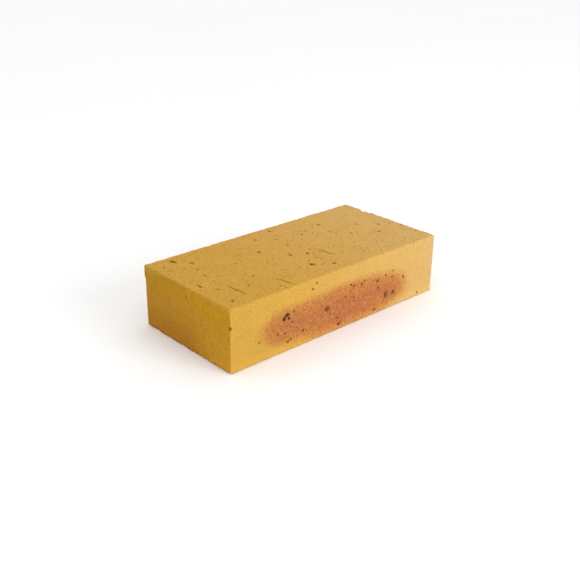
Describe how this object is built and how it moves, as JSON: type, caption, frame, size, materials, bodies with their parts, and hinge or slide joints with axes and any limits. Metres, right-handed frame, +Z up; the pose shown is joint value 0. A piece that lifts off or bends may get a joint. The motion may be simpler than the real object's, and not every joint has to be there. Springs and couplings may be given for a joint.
{
  "type": "facing brick",
  "caption": "Solid rectangular wire-cut brick of buff fired clay for walls and paving, with sharp arrises, a red kiln-flash patch on a long face and dark iron grains.",
  "frame": {"origin": "centre of the lower bed, on the surface that the brick lies on", "axes": "+X along the length towards the right header, +Y across the width from the front stretcher face to the rear one, +Z up through the height to the upper bed"},
  "size_m": [0.215, 0.1024, 0.05],
  "materials": {
    "fired_clay": "matte",
    "iron_grain": "satin",
    "lime_grain": "matte"
  },
  "bodies": {
    "root": {"clay_body": "fired_clay", "iron_cluster_front": "iron_grain", "iron_nodule_middle": "iron_grain", "iron_nodule_far_left": "iron_grain", "iron_nodule_far_right": "iron_grain", "iron_specks_front": "iron_grain", "lime_grain_front": "lime_grain", "iron_nodule_bed": "iron_grain", "iron_specks_bed": "iron_grain", "iron_specks_header": "iron_grain", "iron_specks_rear": "iron_grain", "iron_specks_far_header": "iron_grain", "iron_specks_lower_bed": "iron_grain"}
  },
  "joints": []
}
